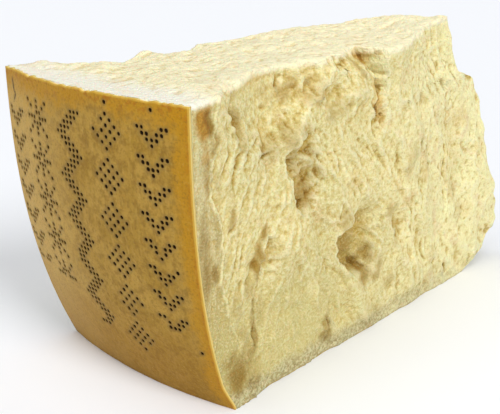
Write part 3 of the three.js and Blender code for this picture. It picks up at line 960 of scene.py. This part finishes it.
sheet = Sheet("paste")
along_front = sheet.stored("along_front")
from_rind = sheet.stored("from_rind")
height = sheet.stored("height")
small_hollow = sheet.stored("small_hollow")
mid_hollow = sheet.stored("mid_hollow")
wide_hollow = sheet.stored("wide_hollow")
tone = sheet.noise(width=7.0, detail=3.0)
wide_tone = sheet.noise(width=26.0, detail=2.0)
speckle = sheet.noise(width=1.4, detail=2.0)
streak = sheet.noise(width=2.2, detail=3.0, stretch=(1, 1, 0.3))
grains = sheet.noise(width=1.3, detail=2.0)
grit = sheet.noise(width=0.75, detail=3.0)
far = along_front.raised(120, 190)

# Paler towards the point: partly the paste's own colour, partly painted light
colour = sheet.mix(along_front.raised(70, 180), CREAM, BRIGHT_CREAM)
colour = sheet.laid(colour, (
    (wide_tone, 0.45, 0.62, 0.6 - far * 0.5, GREY_CREAM),
    (tone, 0.55, 0.70, 0.35 + far * 0.2, PINK),
    (tone, 0.45, 0.30, 0.5, GREEN_CREAM),
    (streak, 0.50, 0.75, 0.3 - far * 0.15, OCHRE),
    (speckle, 0.48, 0.66, 0.3 - far * 0.15, OCHRE),
    (speckle, 0.46, 0.34, 0.35, PALE_CREST),
    # Painted highlight on the crests, then painted shade in the hollows, darkest in the deepest
    (small_hollow, 0.02, -0.24, 0.6, PALE_CREST),
    (small_hollow, 0.0, 0.26, 0.55, OCHRE),
    (mid_hollow, 0.1, 0.8, 0.6, OCHRE),
    (wide_hollow, 0.4, 2.2, 0.75, OCHRE),
    (mid_hollow, 0.8, 2.0, 0.7, DEEP_OCHRE),
    (sheet.stored("hollow"), 0.6, 6.0, 0.6, OCHRE),
))

# The scored band is greyer and browner towards the foot, with painted shade in its hollows.
# Its lip is painted bright, a painted highlight, and the deepest cracks are painted darkest,
# a painted shade.
SCORED_SHARE = 0.85
scored_tone = sheet.laid(sheet.mix(streak.raised(0.4, 0.65), SCORED, SCORED_PALE), (
    (height, 70, 15, 0.6, SCORED_BROWN),
    (height, 70, 100, 0.25, PALE_CREST),
    (height, 96, 108, 0.6, GREY_CREAM),
    (small_hollow, 0.0, 0.15, 0.5, OCHRE),
))
colour = sheet.mix(sheet.stored("scored") * SCORED_SHARE, colour, scored_tone)
colour = sheet.laid(colour, (
    # A painted highlight on the lip, and painted shade in the deepest cracks
    (sheet.stored("lip"), 0.2, 0.8, streak.raised(0.35, 0.55) * 0.8, BRIGHT_CREAM),
    (small_hollow, 0.16, 0.45, 0.6, DEEP_OCHRE),
))

# The foot is darker beside the rind, with a dry greyish crust that fades towards the point
CRUST_WAVER = 8
PALE_SHARE = 0.8
crust_colour = sheet.mix(grains.raised(0.42, 0.58), CRUST_GREY, CRUST_BROWN)
colour = sheet.laid(colour, (
    (height, 70, 20, along_front.raised(150, 50) * 0.7, LOW_CREAM),
    (height + (tone - 0.5) * CRUST_WAVER, 10, 4, 0.8 - far * 0.6, crust_colour),
))
# Pale patches: partly paler paste, partly painted light
colour = sheet.mix(sheet.stored("pale_and_lit_patch") * PALE_SHARE, colour, BRIGHT_CREAM)

# Dark and pale grit covers all of it, and the stains, with the painted shade they carry, lie
# over the grit
GRIT_SHARE = 0.4
STAIN_AND_SHADE_LEAST, STAIN_AND_SHADE_CHANGE = 0.7, 0.3
patchy = tone.raised(0.25, 0.5)
colour = sheet.stained(grit.raised(0.48, 0.34) * GRIT_SHARE, colour, GRIT_TINT)
colour = sheet.laid(colour, ((grit, 0.52, 0.66, 0.35, PALE_CREST),))
brown_stain_and_shade_share = sheet.stored("brown_stain_and_shade") * (patchy * STAIN_AND_SHADE_CHANGE + STAIN_AND_SHADE_LEAST)
colour = sheet.stained(brown_stain_and_shade_share, colour, BROWN_STAIN_AND_SHADE_TINT)
colour = sheet.stained(sheet.stored("amber_stain_and_shade") * patchy, colour, AMBER_STAIN_AND_SHADE_TINT)

# The top is painted paler, as painted light, with a white bloom along the rind and painted
# shade in its small hollows, and the underside is plain
BLOOM_WAVER = 10
bloom = (from_rind + (tone - 0.5) * BLOOM_WAVER).raised(16, 3)
top_colour = sheet.laid(sheet.mix(bloom, TOP_CREAM, TOP_BLOOM), (
    (tone, 0.5, 0.7, 0.3, PINK),
    (small_hollow, 0.0, 0.2, 0.4, OCHRE),
))
colour = sheet.mix(sheet.stored("top_face"), colour, top_colour)
colour = sheet.mix(sheet.stored("underside"), colour, OCHRE)

# The dry, matte grain of the surface
GRIT_RELIEF, PIT_RELIEF = 0.8, 0.5
relief = sheet.noise(width=1.6, detail=3.0) + grit * GRIT_RELIEF - sheet.cells(width=1.4) * PIT_RELIEF
sheet.feed(sheet.surface, {
    "Base Color": colour,
    "Roughness": 0.7,
    "Specular IOR Level": 0.2,
    "Subsurface Weight": 0.15,
    "Subsurface Scale": 1.0 * MM,
    "Normal": sheet.bump(relief, distance=0.7),
})
mesh.materials.append(sheet.material)


# ---------------------------------------------------------------------------------------
# The rind: the outermost skin of the wheel, the same cheese dried hard, tan and waxy from
# oiling and ageing. Rows of small pin marks were pressed into it while the cheese was
# young, and the deeper part of each is painted near-black.

# The rind's mesh: blocks across and up that can each hold a pin mark, and cells in a block,
# coarser on the side that lies on the paste
RIND_BLOCKS = (50, 58)
BLOCK_CELLS = 3
RIND_CELLS = (1, RIND_BLOCKS[0] * BLOCK_CELLS, RIND_BLOCKS[1] * BLOCK_CELLS)
COARSE_INSIDE = {"point": 6}
RIND_SETTLINGS = 6

# The patterns of the marks, from the top row down
LOZENGES = ("...o...", "..o.o..", ".o.o.o.", "o.o.o.o", ".o.o.o.", "..o.o..", "...o...", ".......")
WHEAT_EAR = ("oo...oo", ".oo.oo.", "..ooo..", "...o...", ".......")
ZIGZAG = ("ooo....", ".ooo...", "..ooo..", "...ooo.", "....ooo", "...ooo.", "..ooo..", ".ooo...")
STARS = ("o..o..o", ".o.o.o.", "..ooo..", "ooo.ooo", "..ooo..", ".o.o.o.", "o..o..o", ".......")

# Columns of marks: the pattern, the first block counted from the front, the lowest row and
# the highest row. A few single marks stand between them.
MARK_COLUMNS = (
    (WHEAT_EAR, 4, 16, 53),
    (LOZENGES, 14, 8, 54),
    (ZIGZAG, 24, 11, 53),
    (STARS, 34, 18, 53),
    (WHEAT_EAR, 43, 19, 50),
)
SINGLE_MARKS = ((2, 12), (17, 56), (7, 56))

# Rings of a pin mark, from the rim inwards: radius and how far the ring is pressed in. The
# marks wander a little, differ in size and depth, and a few are lost. The deeper part of
# each is painted near-black.
PIN_RINGS = ((0.95, -0.03), (0.86, 0.05), (0.76, 0.7), (0.4, 0.95))
PIN_LOST_SHARE = 0.03
PIN_WANDER = 0.08
PIN_SIZES = (0.85, 1.0)
PIN_DEPTHS = (0.7, 1.0)
PIN_DARK_DEPTHS = (0.02, 0.35)
pick = np.random.default_rng(7)

# The marked blocks
blocks = []
for pattern, first_block, lowest, highest in MARK_COLUMNS:
    for row in range(lowest, highest + 1):
        for column, mark in enumerate(pattern[(highest - row) % len(pattern)]):
            inside = first_block + column < RIND_BLOCKS[0] - 1
            if mark == "o" and inside and pick.random() > PIN_LOST_SHARE:
                blocks.append((first_block + column, row))
blocks += SINGLE_MARKS

# The rind's skin, left open where the marks go
rind_shares, rind_faces, side_names = box_skin(*RIND_CELLS, COARSE_INSIDE)
index = {tuple(np.round(share * RIND_CELLS).astype(int)): n for n, share in enumerate(rind_shares)}
marked = set(blocks)
kept = []
for ring, side in zip(rind_faces, side_names):
    if side == "rind":
        corner = np.round(np.min(rind_shares[ring], axis=0) * RIND_CELLS).astype(int)
        if (corner[1] // BLOCK_CELLS, corner[2] // BLOCK_CELLS) in marked:
            continue
    kept.append(ring)

# The marks: rings of cells that lead from a block's rim down to the bottom of its mark
cell = np.array((WHEEL_RADIUS * (FRONT_ANGLE + BACK_ANGLE), CHUNK_HEIGHT)) / RIND_CELLS[1:]
start = len(rind_shares)
added, sinks, pin_centres = [], [], []
for block in blocks:
    low = np.array(block) * BLOCK_CELLS
    high = low + BLOCK_CELLS
    steps = range(BLOCK_CELLS)
    rim = [(low[0] + k, low[1]) for k in steps] + [(high[0], low[1] + k) for k in steps]
    rim += [(high[0] - k, high[1]) for k in steps] + [(low[0], high[1] - k) for k in steps]
    middle = low + BLOCK_CELLS / 2
    centre = middle + pick.uniform(-PIN_WANDER, PIN_WANDER, 2) / cell
    size = pick.uniform(*PIN_SIZES)
    depth = pick.uniform(*PIN_DEPTHS)
    previous = [index[(0, *place)] for place in rim]
    for radius, sink in PIN_RINGS:
        current = []
        for place in rim:
            away = (place - middle) * cell
            spot = centre + away / np.hypot(*away) * radius * size / cell
            current.append(start + len(added))
            added.append((0.0, *(spot / RIND_CELLS[1:])))
            sinks.append(sink * depth)
        for k in range(len(rim)):
            after = (k + 1) % len(rim)
            kept.append([previous[k], previous[after], current[after], current[k]][::-1])
        previous = current
    added.append((0.0, *(centre / RIND_CELLS[1:])))
    sinks.append(depth)
    for k in range(len(rim)):
        kept.append([previous[k], previous[(k + 1) % len(rim)], start + len(added) - 1][::-1])
    pin_centres.append(centre)

rind_shares = np.concatenate([rind_shares, np.array(added)])
sink = np.concatenate([np.zeros(start), np.array(sinks)])


def settle_rind(shares):
    """Moves places in the unit box to the rind, which is a skin round the wheel."""
    _, across, height = shares.T
    x = np.full(len(shares), -WHEEL_RADIUS)
    z = CHUNK_HEIGHT * height
    for _ in range(RIND_SETTLINGS):
        y = lerp(front_y(x, z, False), back_y(x, z, False), across)
        x = rind_x(y, z)
        z = height * top_z(x, y, False)
    return np.stack([x, y, z], axis=1)


# The rind swells unevenly inside its rims, and its upper edge is chipped and nicked over the
# last share of its height
RIND_SWELLS = ((waves, 0.16, 16, 14, 600), (waves, 0.08, 4, 4, 601))
SWELL_ROOM = 0.16
SWELL_RIM = 0.03
CHIPS = ((waves, 1.0, 3.2, 40, 610),)
CHIP_DEPTH, CHIP_FULL = 0.55, 0.9
NICKS = ((waves, 0.35, 1.3, 40, 611),)
PROUDEST_CHIP = -0.1
CHIPPED_TOP = (0.985, 1.0)

# A short dark crack stands near the rind's back edge: its place, half its width where it is
# dark and where it ends, its waver, and the heights where it starts and ends
CRACK_FROM_BACK = 7.5
CRACK_EDGE = (0.3, 0.9)
CRACK_WAVER = ((waves, 1.2, 2.5, 9, 620),)
CRACK_STARTS, CRACK_ENDS = (104, 106), (112, 115)

outer = settle_rind(rind_shares)
x, y, z = outer.T
inside, across, up = rind_shares.T
from_rim = smoothstep(np.minimum.reduce([across, 1 - across, 1 - up]), 0.0, SWELL_RIM)
swell = layered(RIND_SWELLS, y, z) * from_rim
inwards = -outer * (1, 1, 0) / np.hypot(x, y)[:, None]
pressed = sink - swell + inside * (SKIN_DEPTH + SWELL_ROOM)
rind_places = outer + inwards * pressed[:, None]
chips = CHIP_DEPTH * smoothstep(layered(CHIPS, y, y), 0.0, CHIP_FULL) + layered(NICKS, y, y)
rind_places[:, 2] -= np.maximum(chips, PROUDEST_CHIP) * smoothstep(up, *CHIPPED_TOP)
rind = mesh_object("rind", rind_places, kept)
mesh = rind.data

# What the colours follow
in_cells = rind_shares[:, 1:] * RIND_CELLS[1:]
from_pin = np.full(len(rind_shares), np.inf)
for centre in pin_centres:
    from_pin = np.minimum(from_pin, np.hypot(*((in_cells - centre) * cell).T))
rind_width = RIND_CELLS[1] * cell[0]
from_crack = np.abs((1 - across) * rind_width - CRACK_FROM_BACK - layered(CRACK_WAVER, z, z))
crack = smoothstep(-from_crack, -CRACK_EDGE[1], -CRACK_EDGE[0])
for name, values in {
    "pin": smoothstep(sink, *PIN_DARK_DEPTHS),
    "from_pin": from_pin,
    "height": z,
    "from_top": top_z(x, y, False) - z,
    "from_front": across * rind_width,
    "from_back": (1 - across) * rind_width,
    "cut": inside,
    "crack": crack * smoothstep(z, *CRACK_STARTS) * (1.0 - smoothstep(z, *CRACK_ENDS)),
}.items():
    store(mesh, name, values)
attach(rind, "root")
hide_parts(NODE)

# Tan and mottled brown, golden towards its edges, with soiled skin round the pins, their
# deeper part painted near-black, and a pale cut edge
TAN = (0.42, 0.245, 0.033)
PALE_TAN = (0.56, 0.345, 0.070)
GREY_TAN = (0.76, 0.50, 0.15)
BROWN = (0.25, 0.13, 0.016)
LOW_BROWN = (0.33, 0.15, 0.003)
GOLD = (0.545, 0.267, 0.008)
BRIGHT_GOLD = (0.72, 0.47, 0.08)
AMBER = (0.45, 0.150, 0.007)
SOILED = (0.24, 0.155, 0.05)
NEAR_BLACK = (0.030, 0.017, 0.007)
CUT_RIND = (0.97, 0.88, 0.42)
CRACK_SHARE = 0.9
BLOTCH_WAVER, MOTTLE_WAVER = 18, 14
FRONT_WAVER_SHARE = 0.5
MOTTLE_RELIEF = 0.5
WAXY_ROUGHNESS, PIN_ROUGHNESS = 0.55, 0.45

sheet = Sheet("rind")
height = sheet.stored("height")
from_front = sheet.stored("from_front")
from_top = sheet.stored("from_top")
pin = sheet.stored("pin")
blotch = sheet.noise(width=16.0, detail=2.0)
mottle = sheet.noise(width=2.6, detail=4.0)
speckle = sheet.noise(width=0.9, detail=2.0)
scratch = sheet.noise(width=1.6, detail=3.0, stretch=(1, 1, 0.25))
wrinkle = sheet.noise(width=1.1, detail=4.0)
waver = (blotch - 0.5) * BLOTCH_WAVER + (mottle - 0.5) * MOTTLE_WAVER
colour = sheet.laid(TAN, (
    (blotch, 0.35, 0.65, 0.6, PALE_TAN),
    (mottle, 0.42, 0.66, 0.55, BROWN),
    (scratch, 0.52, 0.72, 0.5, PALE_TAN),
    (sheet.stored("from_back"), 60, 8, 0.6, GREY_TAN),
    (height, 50, 10, 0.5, LOW_BROWN),
    (from_top + waver, 13, 1, 0.85, GOLD),
    (from_front + waver * FRONT_WAVER_SHARE, 9, 3, 0.8, GOLD),
    (from_front, 3, 0, mottle.raised(0.35, 0.6) * 0.5, AMBER),
    (from_top, 7, 0, mottle.raised(0.50, 0.62) * 0.7, AMBER),
    (speckle, 0.52, 0.72, 0.45, BROWN),
    (speckle, 0.42, 0.28, 0.35, PALE_TAN),
    (sheet.stored("from_pin"), 2.0, 0.8, 0.5, SOILED),
    (sheet.stored("cut"), 0.0, 0.5, 1.0, CUT_RIND),
))
colour = sheet.mix(sheet.stored("crack") * CRACK_SHARE, colour, NEAR_BLACK)
colour = sheet.laid(colour, (
    (from_top, 1.0, 0.2, 0.6, BRIGHT_GOLD),
    (from_front, 0.9, 0.2, 0.6, BRIGHT_GOLD),
))
colour = sheet.mix(pin, colour, NEAR_BLACK)
sheet.feed(sheet.surface, {
    "Base Color": colour,
    "Roughness": WAXY_ROUGHNESS + pin * PIN_ROUGHNESS,
    "Specular IOR Level": 0.12,
    "Subsurface Weight": 0.08,
    "Subsurface Scale": 0.8 * MM,
    "Normal": sheet.bump(wrinkle + mottle * MOTTLE_RELIEF, distance=0.25),
})
mesh.materials.append(sheet.material)


# ---------------------------------------------------------------------------------------
# The studio: a plain pale floor, a soft light from high in front of the long break, a
# broader one from above, and a little light from all round.
FLOOR_HALF = 3.0
FLOOR_WHITE = (0.93, 0.95, 0.99, 1)
FLOOR_ROUGHNESS = 0.9
# Each light: where it shines from, its strength and its spread in degrees
LIGHTS = {
    "light_front": ((-0.15, -0.74, 0.62), 1.70, 25),
    "light_above": ((-0.4, 0.0, 1.0), 1.5, 60),
}
ALL_ROUND = (1, 1, 1, 1)
ALL_ROUND_STRENGTH = 0.24

floor_mesh = bpy.data.meshes.new("floor")
corners = [(x * FLOOR_HALF, y * FLOOR_HALF, 0.0) for x, y in ((-1, -1), (1, -1), (1, 1), (-1, 1))]
floor_mesh.from_pydata(corners, [], [(0, 1, 2, 3)])
floor = bpy.data.objects.new("floor", floor_mesh)
bpy.context.collection.objects.link(floor)
floor_sheet = Sheet("floor")
floor_sheet.feed(floor_sheet.surface, {"Base Color": FLOOR_WHITE, "Roughness": FLOOR_ROUGHNESS})
floor_mesh.materials.append(floor_sheet.material)

for name, (shines_from, strength, spread) in LIGHTS.items():
    lamp = bpy.data.lights.new(name, "SUN")
    lamp.energy = strength
    lamp.angle = math.radians(spread)
    light = bpy.data.objects.new(name, lamp)
    light.rotation_euler = Vector(shines_from).to_track_quat("Z", "Y").to_euler()
    bpy.context.collection.objects.link(light)

world = bpy.data.worlds.new("studio")
bpy.context.scene.world = world
world.use_nodes = True
background = world.node_tree.nodes["Background"]
background.inputs["Color"].default_value = ALL_ROUND
background.inputs["Strength"].default_value = ALL_ROUND_STRENGTH
bpy.context.scene.view_settings.view_transform = "Standard"
